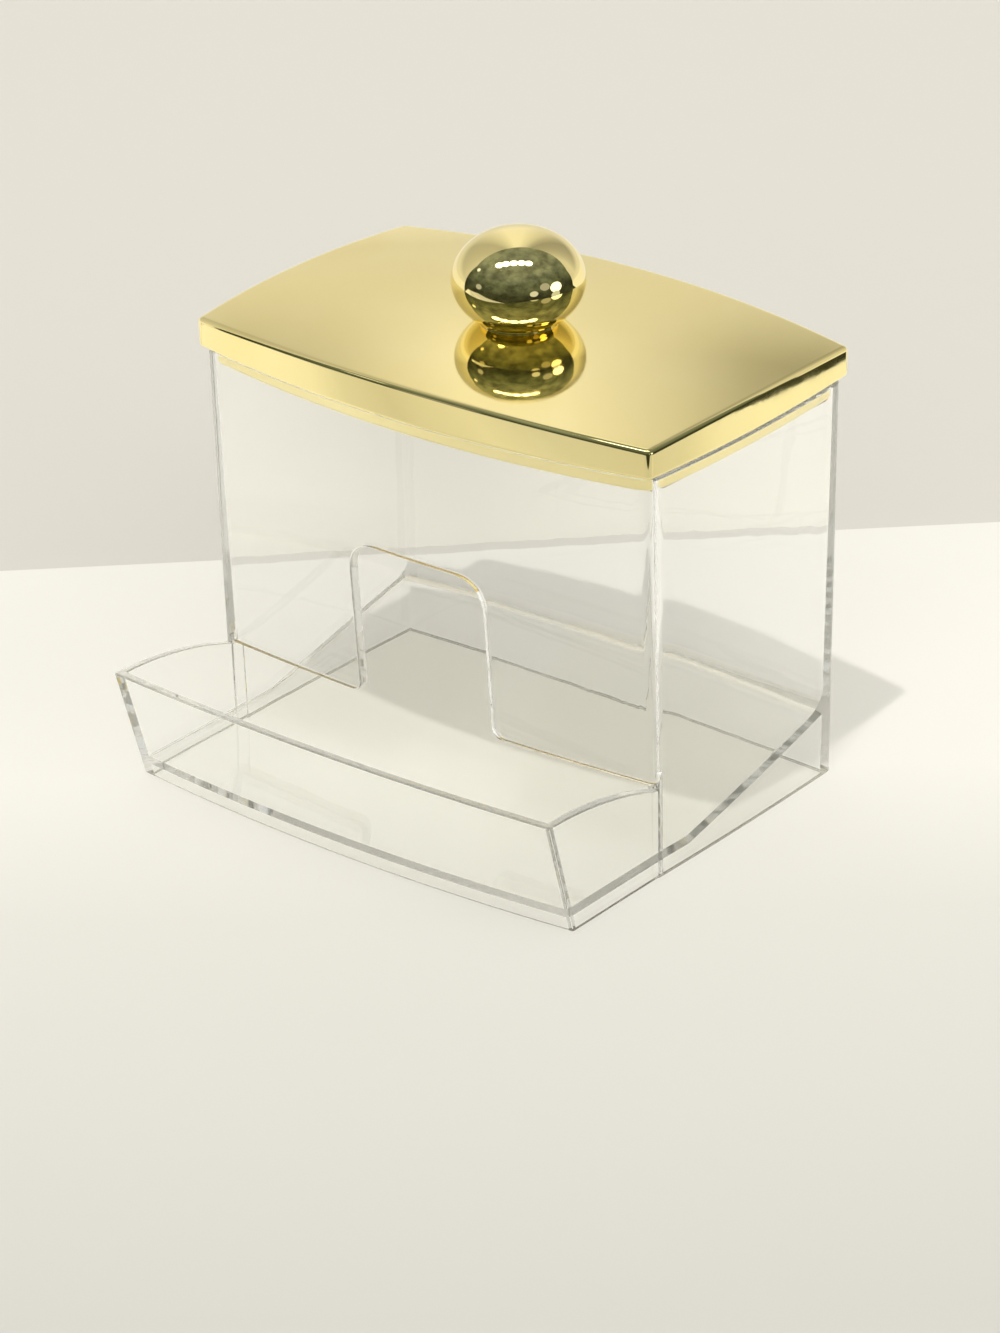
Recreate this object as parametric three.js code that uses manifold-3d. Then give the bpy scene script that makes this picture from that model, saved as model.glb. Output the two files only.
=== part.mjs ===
// Clear cotton swab holder: a bowed box on a sloping floor, an open tray in front,
// and a gilt lid with a round knob. Millimetres, +Z up, the tray faces -Y.
import * as THREE from 'three';
import { mergeVertices } from 'three/addons/utils/BufferGeometryUtils.js';
import Module from 'manifold-3d';

const wasm = await Module();
wasm.setup();

// Box: outer sizes at the foot and at the mouth, measured at the corners.
const boxHeight = 71.7;
const boxFootHalfWidth = 46.7;
const boxMouthHalfWidth = 47.3;
const boxFootHalfDepth = 24.3;
const boxMouthHalfDepth = 25.8;
const boxFootBow = 1.25;
const boxMouthBow = 5.2;
const boxFootSideBow = 0.3;
const boxMouthSideBow = 1.1;
const boxWall = 2;
const boxFootOuterCorner = 1;
const boxMouthOuterCorner = 2.6;
const boxFootInnerCorner = 0.5;
const boxMouthInnerCorner = 1.4;

// Tray: a trough in front of the box whose front wall leans out.
const trayFootReach = 46.4;
const trayRimReach = 52.4;
const trayFootBow = 2.8;
const trayRimBow = 2;
const trayRimHeight = 21.4;
const traySideLowHeight = 16.4;
const trayWall = 1.6;
const trayCorner = 0.9;
const trayInnerCorner = 1.6;

// Floor, its hidden rim below, and the ramp that the swabs roll down.
const floorTop = 4.3;
const floorThickness = 1.7;
const rampFootPlace = -15.5;
const rampSlopeShare = 0.233;
const rampFillet = 6;
const rampThickness = 1.8;

// Way out under the front wall, and the finger notch above it.
const exitTop = 17;
const exitEndReach = 21.8;
const notchHalfWidth = 14.1;
const notchTop = 46;
const notchCorner = 6;
const notchMouthCorner = 2.4;

// Lid: plan at the corners, crown of the top, skirt and locating lip.
const lidHalfWidth = 47.5;
const lidHalfDepth = 26.9;
const lidBow = 5.4;
const lidSideBow = 1.3;
const lidSkirt = 5.2;
const lidCrownAcross = 1.3;
const lidCrownDeep = 0.9;
const lidPlate = 1.8;
const lidSkirtWall = 2;
const lipDepth = 3.4;
const lipWall = 1.4;
const bossRadius = 4.6;
const bossHeight = 2.4;

// Knob and the screw that holds it from below.
const knobRadius = 11.2;
const knobHalfHeight = 8.75;
const knobCentreRise = 7;
const screwRadius = 1.5;
const screwHeadRadius = 2.8;
const screwHeadHeight = 1.9;
const screwGrip = 7.5;
const screwTip = 1;
const recessLength = 3.2;
const recessWidth = 0.7;
const recessDepth = 1;

// Clearances between pieces.
const lidSeatGap = 0.3;
const lipGap = 0.3;
const knobSeatGap = 0.15;
const screwHoleGap = 0.25;
const screwHeadGap = 0.15;
const boreEndGap = 0.6;
const cutOverrun = 4;

// Facet counts.
const frontSteps = 24;
const sideSteps = 8;
const cornerSteps = 4;
const rampSteps = 24;
const filletSteps = 7;
const rimSteps = 12;
const lidStepsAcross = 28;
const lidStepsDeep = 16;
const knobSteps = 56;
const knobArcSteps = 26;
const screwSteps = 20;

// Colours and surface, shared by the materials.
const clearColour = 0xf4f6f5;
const giltColour = 0xd9b64f;
const steelColour = 0xb9bcc0;
const clearOpacityShare = 0.35;
const clearRoughShare = 0.05;
const giltRoughShare = 0.12;
const steelRoughShare = 0.35;

// Helpers.
function mix(low, high, share) {
  return low + (high - low) * share;
}

function solidFrom(geometry) {
  geometry.deleteAttribute('normal');
  geometry.deleteAttribute('uv');
  const merged = mergeVertices(geometry);
  return new wasm.Manifold(new wasm.Mesh({
    numProp: 3,
    vertProperties: new Float32Array(merged.attributes.position.array),
    triVerts: new Uint32Array(merged.index.array),
  }));
}

function geometryFrom(solid) {
  const mesh = solid.getMesh();
  const geometry = new THREE.BufferGeometry();
  geometry.setAttribute('position', new THREE.BufferAttribute(new Float32Array(mesh.vertProperties), 3));
  geometry.setIndex(new THREE.BufferAttribute(new Uint32Array(mesh.triVerts), 1));
  geometry.computeVertexNormals();
  return geometry;
}

// Skins a stack of rings with equal counts and closes both ends with fans.
function loft(rings) {
  const count = rings[0].length;
  const places = rings.flat().flatMap((point) => [point.x, point.y, point.z]);
  const index = [];
  for (let level = 0; level + 1 < rings.length; level += 1) {
    for (let step = 0; step < count; step += 1) {
      const next = (step + 1) % count;
      const low = level * count;
      const high = low + count;
      index.push(low + step, low + next, high + next);
      index.push(low + step, high + next, high + step);
    }
  }
  const addCap = (ring, first, flip) => {
    const centre = ring.reduce((sum, point) => sum.add(point), new THREE.Vector3());
    centre.divideScalar(count);
    const hub = places.length / 3;
    places.push(centre.x, centre.y, centre.z);
    for (let step = 0; step < count; step += 1) {
      const next = (step + 1) % count;
      if (flip) {
        index.push(hub, first + next, first + step);
      } else {
        index.push(hub, first + step, first + next);
      }
    }
  };
  addCap(rings[0], 0, true);
  addCap(rings[rings.length - 1], (rings.length - 1) * count, false);
  const geometry = new THREE.BufferGeometry();
  geometry.setAttribute('position', new THREE.Float32BufferAttribute(places, 3));
  geometry.setIndex(index);
  return solidFrom(geometry);
}

// One bowed side of a plan outline, trimmed at both ends for the corner arcs.
function bowedSide(pointAt, halfLength, corner, steps) {
  const reach = 1 - corner / halfLength;
  const side = [];
  for (let step = 0; step <= steps; step += 1) {
    side.push(pointAt(mix(-reach, reach, step / steps)));
  }
  return side;
}

// Plan outline with four bowed sides, counter-clockwise from the front left corner.
function planRing(plan, height) {
  const { halfWidth, front, back, frontBow, backBow, sideBow, corner } = plan;
  const middle = (back - front) / 2;
  const halfDepth = (back + front) / 2;
  const bowAt = (bow, share) => bow * (1 - share * share);
  const at = (x, y) => new THREE.Vector3(x, y, height);
  const sides = [
    bowedSide((s) => at(s * halfWidth, -front - bowAt(frontBow, s)), halfWidth, corner, frontSteps),
    bowedSide((s) => at(halfWidth + bowAt(sideBow, s), middle + s * halfDepth), halfDepth, corner, sideSteps),
    bowedSide((s) => at(-s * halfWidth, back + bowAt(backBow, s)), halfWidth, corner, frontSteps),
    bowedSide((s) => at(-halfWidth - bowAt(sideBow, s), middle - s * halfDepth), halfDepth, corner, sideSteps),
  ];
  const tips = [at(halfWidth, -front), at(halfWidth, back), at(-halfWidth, back), at(-halfWidth, -front)];
  const ring = [];
  sides.forEach((side, turn) => {
    ring.push(...side);
    const following = sides[(turn + 1) % sides.length];
    const arc = new THREE.QuadraticBezierCurve3(side[side.length - 1], tips[turn], following[0]);
    ring.push(...arc.getPoints(cornerSteps).slice(1, -1));
  });
  return ring;
}

// Profile drawn in the Y-Z plane and pushed along X, centred.
function acrossSolid(points, halfSpan) {
  const shape = new THREE.Shape(points.map(([y, z]) => new THREE.Vector2(y, z)));
  const geometry = new THREE.ExtrudeGeometry(shape, { depth: halfSpan + halfSpan, bevelEnabled: false, steps: 1 });
  const turn = new THREE.Matrix4().makeBasis(
    new THREE.Vector3(0, 1, 0),
    new THREE.Vector3(0, 0, 1),
    new THREE.Vector3(1, 0, 0),
  );
  geometry.applyMatrix4(turn);
  geometry.translate(-halfSpan, 0, 0);
  return solidFrom(geometry);
}

const outerCorners = [boxFootOuterCorner, boxMouthOuterCorner];
const innerCorners = [boxFootInnerCorner, boxMouthInnerCorner];

// Box plan at a height, drawn in by an inset; the same law serves walls, lip and floor.
function boxPlan(height, inset, corners) {
  const share = height / boxHeight;
  const halfDepth = mix(boxFootHalfDepth, boxMouthHalfDepth, share) - inset;
  const bow = mix(boxFootBow, boxMouthBow, share);
  return {
    halfWidth: mix(boxFootHalfWidth, boxMouthHalfWidth, share) - inset,
    front: halfDepth,
    back: halfDepth,
    frontBow: bow,
    backBow: bow,
    sideBow: mix(boxFootSideBow, boxMouthSideBow, share),
    corner: mix(corners[0], corners[1], share),
  };
}

function boxLoft(low, high, inset, corners) {
  return loft([
    planRing(boxPlan(low, inset, corners), low),
    planRing(boxPlan(high, inset, corners), high),
  ]);
}

// Tray plan at a height: straight sides flush with the box, the front leaning out.
function trayPlan(height, inset, corner) {
  const share = height / trayRimHeight;
  return {
    halfWidth: boxPlan(height, inset, outerCorners).halfWidth,
    front: mix(trayFootReach, trayRimReach, share) - inset,
    back: boxFootHalfDepth / 2,
    frontBow: mix(trayFootBow, trayRimBow, share),
    backBow: 0,
    sideBow: 0,
    corner,
  };
}

function trayLoft(low, high, inset, corner) {
  return loft([
    planRing(trayPlan(low, inset, corner), low),
    planRing(trayPlan(high, inset, corner), high),
  ]);
}

// The tray's rim line: level in front, falling in a curve towards the box.
function rimTrim() {
  const nearBox = -boxPlan(exitTop, 0, outerCorners).front;
  const points = [[cutOverrun, -cutOverrun], [cutOverrun, traySideLowHeight]];
  for (let step = 0; step <= rimSteps; step += 1) {
    const share = step / rimSteps;
    const rise = 1 - (1 - share) * (1 - share);
    points.push([mix(nearBox, -trayRimReach, share), mix(traySideLowHeight, trayRimHeight, rise)]);
  }
  const beyond = -trayRimReach - trayRimBow - cutOverrun;
  points.push([beyond, trayRimHeight], [beyond, -cutOverrun]);
  return acrossSolid(points.reverse(), boxMouthHalfWidth + cutOverrun);
}

// The space above the floor and the ramp, with a fillet that follows the bowed back wall.
function aboveRamp() {
  const halfSpan = boxMouthHalfWidth + boxMouthSideBow;
  const ceiling = boxHeight + cutOverrun;
  const frontEnd = -trayRimReach - trayRimBow - cutOverrun;
  const slope = Math.atan(rampSlopeShare);
  const rings = [];
  for (let step = 0; step <= rampSteps; step += 1) {
    const across = mix(-1, 1, step / rampSteps);
    const plan = boxPlan(exitTop, boxWall, innerCorners);
    const wallPlace = plan.back + plan.backBow * (1 - across * across);
    const hubPlace = wallPlace - rampFillet;
    const hubHeight = floorTop + rampSlopeShare * (hubPlace - rampFootPlace) + rampFillet / Math.cos(slope);
    const ring = [[frontEnd, floorTop], [rampFootPlace, floorTop]];
    for (let turn = 0; turn <= filletSteps; turn += 1) {
      const angle = mix(slope, Math.PI / 2, turn / filletSteps);
      ring.push([hubPlace + rampFillet * Math.sin(angle), hubHeight - rampFillet * Math.cos(angle)]);
    }
    const backEnd = wallPlace + boxWall + cutOverrun;
    ring.push([backEnd, hubHeight + boxWall], [backEnd, ceiling], [frontEnd, ceiling]);
    rings.push(ring.map(([y, z]) => new THREE.Vector3(across * halfSpan, y, z)));
  }
  return loft(rings);
}

// The space below the floor and the ramp, open to the table.
function belowRamp() {
  const halfSpan = boxMouthHalfWidth;
  const floorUnder = floorTop - floorThickness;
  const frontEnd = -trayRimReach;
  const backEnd = boxMouthHalfDepth + boxMouthBow;
  const slabTop = acrossSolid(
    [[frontEnd, -cutOverrun], [backEnd, -cutOverrun], [backEnd, floorUnder], [frontEnd, floorUnder]],
    halfSpan,
  );
  const drop = rampThickness / Math.cos(Math.atan(rampSlopeShare));
  const wedgeStart = rampFootPlace + (drop - floorThickness) / rampSlopeShare;
  const wedgeTop = floorUnder + rampSlopeShare * (backEnd - wedgeStart);
  const wedge = acrossSolid(
    [[wedgeStart, floorUnder], [wedgeStart, -cutOverrun], [backEnd, -cutOverrun], [backEnd, wedgeTop]],
    halfSpan,
  );
  return slabTop.add(wedge);
}

// Finger notch: rounded at the top, eased at the mouth where it meets the way out.
function notchCutter() {
  const shape = new THREE.Shape();
  const low = exitTop;
  const side = notchHalfWidth;
  const ease = notchMouthCorner;
  shape.moveTo(-side - ease, low - ease);
  shape.lineTo(side + ease, low - ease);
  shape.lineTo(side + ease, low);
  shape.quadraticCurveTo(side, low, side, low + ease);
  shape.lineTo(side, notchTop - notchCorner);
  shape.quadraticCurveTo(side, notchTop, side - notchCorner, notchTop);
  shape.lineTo(-side + notchCorner, notchTop);
  shape.quadraticCurveTo(-side, notchTop, -side, notchTop - notchCorner);
  shape.lineTo(-side, low + ease);
  shape.quadraticCurveTo(-side, low, -side - ease, low);
  const depth = boxMouthHalfDepth + boxMouthBow + cutOverrun;
  const geometry = new THREE.ExtrudeGeometry(shape, { depth, bevelEnabled: false, steps: 1, curveSegments: 6 });
  geometry.rotateX(Math.PI / 2);
  return solidFrom(geometry);
}

function makeBody() {
  const outerBox = boxLoft(0, boxHeight, 0, outerCorners);
  const outerTray = trayLoft(0, trayRimHeight, 0, trayCorner).intersect(rimTrim());
  const shell = outerBox.add(outerTray);
  const boxInside = boxLoft(-cutOverrun, boxHeight + cutOverrun, boxWall, innerCorners);
  const trayInside = trayLoft(-cutOverrun, trayRimHeight + cutOverrun, trayWall, trayInnerCorner);
  const frontEnd = -trayRimReach - trayRimBow;
  const exitSlab = acrossSolid(
    [[frontEnd, -cutOverrun], [-exitEndReach, -cutOverrun], [-exitEndReach, exitTop], [frontEnd, exitTop]],
    boxMouthHalfWidth,
  );
  const lowInside = boxInside.add(trayInside.intersect(exitSlab));
  const inside = lowInside.add(trayInside.subtract(outerBox));
  const under = lowInside.intersect(belowRamp());
  return shell
    .subtract(inside.intersect(aboveRamp()))
    .subtract(under)
    .subtract(notchCutter());
}

// A block with the lid's bowed plan, a flat foot and a crowned top.
function crownedBlock(inset, foot, cornerTop) {
  const places = [];
  const index = [];
  const rowLength = lidStepsAcross + 1;
  const surface = (isTop) => {
    for (let row = 0; row <= lidStepsDeep; row += 1) {
      for (let column = 0; column <= lidStepsAcross; column += 1) {
        const u = mix(-1, 1, column / lidStepsAcross);
        const v = mix(-1, 1, row / lidStepsDeep);
        const x = u * (lidHalfWidth - inset + lidSideBow * (1 - v * v));
        const y = v * (lidHalfDepth - inset + lidBow * (1 - u * u));
        const crown = lidCrownAcross * (1 - u * u) + lidCrownDeep * (1 - v * v);
        places.push(x, y, isTop ? cornerTop + crown : foot);
      }
    }
  };
  surface(false);
  surface(true);
  const topStart = rowLength * (lidStepsDeep + 1);
  const quad = (a, b, c, d) => index.push(a, b, c, a, c, d);
  for (let row = 0; row < lidStepsDeep; row += 1) {
    for (let column = 0; column < lidStepsAcross; column += 1) {
      const a = row * rowLength + column;
      const b = a + 1;
      const d = a + rowLength;
      const c = d + 1;
      quad(a, d, c, b);
      quad(topStart + a, topStart + b, topStart + c, topStart + d);
    }
  }
  const edge = [];
  for (let column = 0; column < lidStepsAcross; column += 1) {
    edge.push(column);
  }
  for (let row = 0; row < lidStepsDeep; row += 1) {
    edge.push(row * rowLength + lidStepsAcross);
  }
  for (let column = lidStepsAcross; column > 0; column -= 1) {
    edge.push(lidStepsDeep * rowLength + column);
  }
  for (let row = lidStepsDeep; row > 0; row -= 1) {
    edge.push(row * rowLength);
  }
  edge.forEach((low, step) => {
    const next = edge[(step + 1) % edge.length];
    quad(low, next, topStart + next, topStart + low);
  });
  const geometry = new THREE.BufferGeometry();
  geometry.setAttribute('position', new THREE.Float32BufferAttribute(places, 3));
  geometry.setIndex(index);
  return solidFrom(geometry);
}

function ringAt(radius, low, high) {
  const profile = [
    new THREE.Vector2(0, low),
    new THREE.Vector2(radius, low),
    new THREE.Vector2(radius, high),
    new THREE.Vector2(0, high),
  ];
  const geometry = new THREE.LatheGeometry(profile, screwSteps);
  geometry.rotateX(Math.PI / 2);
  return solidFrom(geometry);
}

// Heights over the table that the lid, knob and screw share.
const lidFoot = boxHeight + lidSeatGap;
const lidCornerTop = lidFoot + lidSkirt;
const lidCentreTop = lidCornerTop + lidCrownAcross + lidCrownDeep;
const lidCentreUnder = lidCentreTop - lidPlate;
const bossFoot = lidCentreUnder - bossHeight;

function makeLid() {
  const outer = crownedBlock(0, lidFoot, lidCornerTop);
  const hollow = crownedBlock(lidSkirtWall, lidFoot - cutOverrun, lidCornerTop - lidPlate);
  const lipFoot = lidFoot - lipDepth;
  const lipInset = boxWall + lipGap;
  const lipOuter = boxLoft(lipFoot, lidCentreTop, lipInset, innerCorners);
  const lipInner = boxLoft(lipFoot - cutOverrun, lidCentreTop + cutOverrun, lipInset + lipWall, innerCorners);
  const underPlate = crownedBlock(lidSkirtWall / 2, lipFoot - cutOverrun, lidCornerTop - lidPlate / 2);
  const lip = lipOuter.subtract(lipInner).intersect(underPlate);
  const boss = ringAt(bossRadius, bossFoot, lidCentreTop - lidPlate / 2);
  const hole = ringAt(screwRadius + screwHoleGap, bossFoot - cutOverrun, lidCentreTop + cutOverrun);
  return outer.subtract(hollow).add(lip).add(boss).subtract(hole);
}

// Knob: a flattened ball that sits on a flat foot, bored from below for the screw.
function makeKnob() {
  const footAngle = Math.asin(-knobCentreRise / knobHalfHeight);
  const boreTop = screwGrip + boreEndGap;
  const bore = screwRadius + screwHoleGap;
  const profile = [
    new THREE.Vector2(0, boreTop),
    new THREE.Vector2(bore, boreTop),
    new THREE.Vector2(bore, 0),
  ];
  for (let step = 0; step < knobArcSteps; step += 1) {
    const angle = mix(footAngle, Math.PI / 2, step / knobArcSteps);
    const height = knobCentreRise + knobHalfHeight * Math.sin(angle);
    profile.push(new THREE.Vector2(knobRadius * Math.cos(angle), Math.max(0, height)));
  }
  profile.push(new THREE.Vector2(0, knobCentreRise + knobHalfHeight));
  const geometry = new THREE.LatheGeometry(profile, knobSteps);
  geometry.rotateX(Math.PI / 2);
  return solidFrom(geometry);
}

// Pan-head screw, head down under the boss, with a cross recess.
function makeScrew() {
  const shankTop = bossHeight + lidPlate + screwHeadGap + knobSeatGap + screwGrip;
  const tipRadius = screwRadius / 2;
  const domeRise = screwHeadHeight / 3;
  const profile = [
    new THREE.Vector2(0, -screwHeadHeight),
    new THREE.Vector2(screwHeadRadius - domeRise, -screwHeadHeight),
    new THREE.Vector2(screwHeadRadius, -screwHeadHeight + domeRise),
    new THREE.Vector2(screwHeadRadius, 0),
    new THREE.Vector2(screwRadius, 0),
    new THREE.Vector2(screwRadius, shankTop - screwTip),
    new THREE.Vector2(tipRadius, shankTop),
    new THREE.Vector2(0, shankTop),
  ];
  const lathe = new THREE.LatheGeometry(profile, screwSteps);
  lathe.rotateX(Math.PI / 2);
  const slot = (turn) => {
    const box = new THREE.BoxGeometry(recessLength, recessWidth, recessDepth + recessDepth);
    box.rotateZ(turn);
    box.translate(0, 0, -screwHeadHeight);
    return solidFrom(box);
  };
  return solidFrom(lathe).subtract(slot(0).add(slot(Math.PI / 2)));
}

const clearPlastic = new THREE.MeshStandardMaterial({
  color: clearColour,
  roughness: clearRoughShare,
  metalness: 0,
  transparent: true,
  opacity: clearOpacityShare,
});
const giltPlating = new THREE.MeshStandardMaterial({ color: giltColour, roughness: giltRoughShare, metalness: 1 });
const steel = new THREE.MeshStandardMaterial({ color: steelColour, roughness: steelRoughShare, metalness: 1 });

function addPiece(parent, name, solid, material, height) {
  const mesh = new THREE.Mesh(geometryFrom(solid), material);
  mesh.name = name;
  mesh.position.set(0, 0, height);
  parent.add(mesh);
  return mesh;
}

// The holder stands on the middle of its footprint: the tray reaches further than the back.
const frontReach = trayRimReach + trayRimBow;
const backReach = lidHalfDepth + lidBow;
const holder = new THREE.Group();
holder.position.y = (frontReach - backReach) / 2;

addPiece(holder, 'clear_body', makeBody(), clearPlastic, 0);

const lidGroup = new THREE.Group();
addPiece(lidGroup, 'lid', makeLid(), giltPlating, 0);
addPiece(lidGroup, 'lid_knob', makeKnob(), giltPlating, lidCentreTop + knobSeatGap);
addPiece(lidGroup, 'knob_screw', makeScrew(), steel, bossFoot - screwHeadGap);
holder.add(lidGroup);

export default holder;
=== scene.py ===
import math

import bpy
from mathutils import Matrix, Vector


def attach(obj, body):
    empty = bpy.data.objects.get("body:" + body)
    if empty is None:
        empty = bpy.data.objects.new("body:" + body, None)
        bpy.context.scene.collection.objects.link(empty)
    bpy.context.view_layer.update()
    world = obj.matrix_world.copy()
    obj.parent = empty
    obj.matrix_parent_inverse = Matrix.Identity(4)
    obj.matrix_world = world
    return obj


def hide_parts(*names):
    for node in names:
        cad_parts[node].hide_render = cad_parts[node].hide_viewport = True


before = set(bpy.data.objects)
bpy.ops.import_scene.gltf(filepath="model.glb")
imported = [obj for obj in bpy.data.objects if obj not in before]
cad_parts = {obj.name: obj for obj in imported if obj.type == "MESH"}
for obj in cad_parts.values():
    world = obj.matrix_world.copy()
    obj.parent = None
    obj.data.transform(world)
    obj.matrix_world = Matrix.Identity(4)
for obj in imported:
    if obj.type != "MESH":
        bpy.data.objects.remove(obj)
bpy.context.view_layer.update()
scene = bpy.context.scene

# ---------------------------------------------------------------- sizes, in mm as in the CAD
BOX_HEIGHT = 71.7
BOX_FOOT_HALF_WIDTH = 46.7
BOX_MOUTH_HALF_WIDTH = 47.3
BOX_FOOT_HALF_DEPTH = 24.3
BOX_MOUTH_HALF_DEPTH = 25.8
BOX_FOOT_BOW = 1.25
BOX_MOUTH_BOW = 5.2
BOX_FOOT_SIDE_BOW = 0.3
BOX_MOUTH_SIDE_BOW = 1.1
BOX_WALL = 2.0
TRAY_FOOT_REACH = 46.4
TRAY_RIM_REACH = 52.4
TRAY_FOOT_BOW = 2.8
TRAY_RIM_BOW = 2.0
TRAY_RIM_HEIGHT = 21.4
TRAY_SIDE_LOW_HEIGHT = 16.4
TRAY_WALL = 1.6
FLOOR_TOP = 4.3
FLOOR_THICKNESS = 1.7
RAMP_FOOT_PLACE = -15.5
RAMP_SLOPE = 0.233
RAMP_FILLET = 6.0
RAMP_THICKNESS = 1.8
EXIT_TOP = 17.0
NOTCH_HALF_WIDTH = 14.1
NOTCH_TOP = 46.0
NOTCH_CORNER = 6.0
NOTCH_MOUTH_CORNER = 2.4
LID_HALF_WIDTH = 47.5
LID_HALF_DEPTH = 26.9
LID_BOW = 5.4
LID_SIDE_BOW = 1.3
LID_SKIRT = 5.2
LID_CROWN_ACROSS = 1.3
LID_CROWN_DEEP = 0.9
LID_PLATE = 1.8
LID_SKIRT_WALL = 2.0
LIP_DEPTH = 3.4
LIP_WALL = 1.4
BOSS_RADIUS = 4.6
BOSS_HEIGHT = 2.4
KNOB_RADIUS = 11.2
KNOB_HALF_HEIGHT = 8.75
KNOB_CENTRE_RISE = 7.0
SCREW_RADIUS = 1.5
SCREW_GRIP = 7.5
LID_SEAT_GAP = 0.3
LIP_GAP = 0.3
KNOB_SEAT_GAP = 0.15
SCREW_HOLE_GAP = 0.25
BORE_END_GAP = 0.6
SHIFT_Y = (TRAY_RIM_REACH + TRAY_RIM_BOW - LID_HALF_DEPTH - LID_BOW) / 2

LID_FOOT = BOX_HEIGHT + LID_SEAT_GAP
LID_CORNER_TOP = LID_FOOT + LID_SKIRT
LID_CENTRE_TOP = LID_CORNER_TOP + LID_CROWN_ACROSS + LID_CROWN_DEEP
BOSS_FOOT = LID_CENTRE_TOP - LID_PLATE - BOSS_HEIGHT

# Upright corners: the box's at its foot and at its mouth, and the tray's. The inner ones and the
# tray's are sharper than in the CAD, because only then do they show as lines in the clear plastic.
OUTER_CORNERS = (1.0, 2.6)
INNER_CORNERS = (0.3, 0.3)
TRAY_CORNER = 0.3

# Rounded edges, which the CAD leaves sharp.
BODY_EDGE_ROUND = 0.4
OPENING_EDGE_ROUND = 0.35
LID_EDGE_ROUND = 0.8

# Where pieces run into each other before they are joined, and how far cutting shapes overrun.
TRAY_SIDE_INSET = 0.15
TRAY_BACK_END = -19.4
TRAY_FOOT_LIFT = 0.03
OPENING_BEYOND = 0.5
OVERRUN = 4.0

# Fineness of the meshes.
FRONT_STEPS = 68
SIDE_STEPS = 16
CORNER_STEPS = 6
EDGE_TURNS = 4
RAMP_STEPS = 48
FILLET_STEPS = 14
FILLET_END_ANGLE = math.radians(78)
OPENING_STEP = 1.5
OPENING_CORNER_STEPS = 12
OPENING_TURNS = 5
OPENING_END_ANGLE = math.radians(72)
LID_GRID = (88, 52)
LID_CUTTER_GRID = (44, 26)
LID_EDGE_SEGMENTS = 4
DISC_STEPS = 64
KNOB_TURN_STEPS = 128
KNOB_ARC_STEPS = 64
SHARP_ANGLE = math.radians(30)
FACE_NORMAL_WEIGHT = 80
METRES_PER_MM = 0.001


def mix(low, high, share):
    return low + (high - low) * share


# ---------------------------------------------------------------- mesh tools, all in mm
def mesh_object(name, points, faces):
    mesh = bpy.data.meshes.new(name)
    mesh.from_pydata([tuple(p) for p in points], [], faces)
    mesh.validate()
    mesh.update()
    piece = bpy.data.objects.new(name, mesh)
    scene.collection.objects.link(piece)
    return piece


def strip_cap(steps, count):
    """Faces that close a plan ring in strips from its front side to its back side."""
    back = steps + 2 * CORNER_STEPS + SIDE_STEPS - 1
    faces = [(step, step + 1, back + steps - step - 1, back + steps - step)
             for step in range(steps)]
    faces.append(tuple(range(steps, back + 1)))
    faces.append((0,) + tuple(range(back + steps, count)))
    return faces


def loft(name, rings, cap_steps=0):
    """A closed solid through rings; its caps are one face, or strips where cap_steps is given."""
    count = len(rings[0])
    points = [p for ring in rings for p in ring]
    cap = strip_cap(cap_steps, count) if cap_steps else [tuple(range(count))]
    faces = [tuple(reversed(face)) for face in cap]
    for level in range(len(rings) - 1):
        low = level * count
        for step in range(count):
            after = (step + 1) % count
            faces.append((low + step, low + after, low + count + after, low + count + step))
    last = (len(rings) - 1) * count
    faces += [tuple(last + corner for corner in face) for face in cap]
    return mesh_object(name, points, faces)


def wall_loft(name, rings, is_open=False):
    """A wall whose rings run up its outside and down its inside; an open one gets end caps."""
    count, levels = len(rings[0]), len(rings)
    points = [p for ring in rings for p in ring]
    faces = []
    for level in range(levels):
        low, high = level * count, (level + 1) % levels * count
        for step in range(count - 1 if is_open else count):
            after = (step + 1) % count
            faces.append((low + step, low + after, high + after, high + step))
    if is_open:
        ends = [level * count for level in range(levels)]
        faces.append(tuple(ends))
        faces.append(tuple(end + count - 1 for end in reversed(ends)))
    return mesh_object(name, points, faces)


def baked(piece):
    """Applies the modifiers of a piece to its mesh."""
    graph = bpy.context.evaluated_depsgraph_get()
    mesh = bpy.data.meshes.new_from_object(piece.evaluated_get(graph))
    old = piece.data
    piece.modifiers.clear()
    piece.data = mesh
    bpy.data.meshes.remove(old)
    return piece


def combine(target, operation, *tools):
    """Cuts the target with the tools or joins them to it, and removes the tools."""
    for tool in tools:
        cut = target.modifiers.new("cut", "BOOLEAN")
        cut.operation = operation
        cut.object = tool
        cut.solver = "MANIFOLD"
        baked(target)
        bpy.data.objects.remove(tool, do_unlink=True)
    return target


def corner_point(start, tip, end, share):
    """A point on the curve that rounds a corner, from its start to its end."""
    near, middle, far = (1 - share) ** 2, 2 * share * (1 - share), share * share
    return tuple(near * start[k] + middle * tip[k] + far * end[k] for k in (0, 1))


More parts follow.
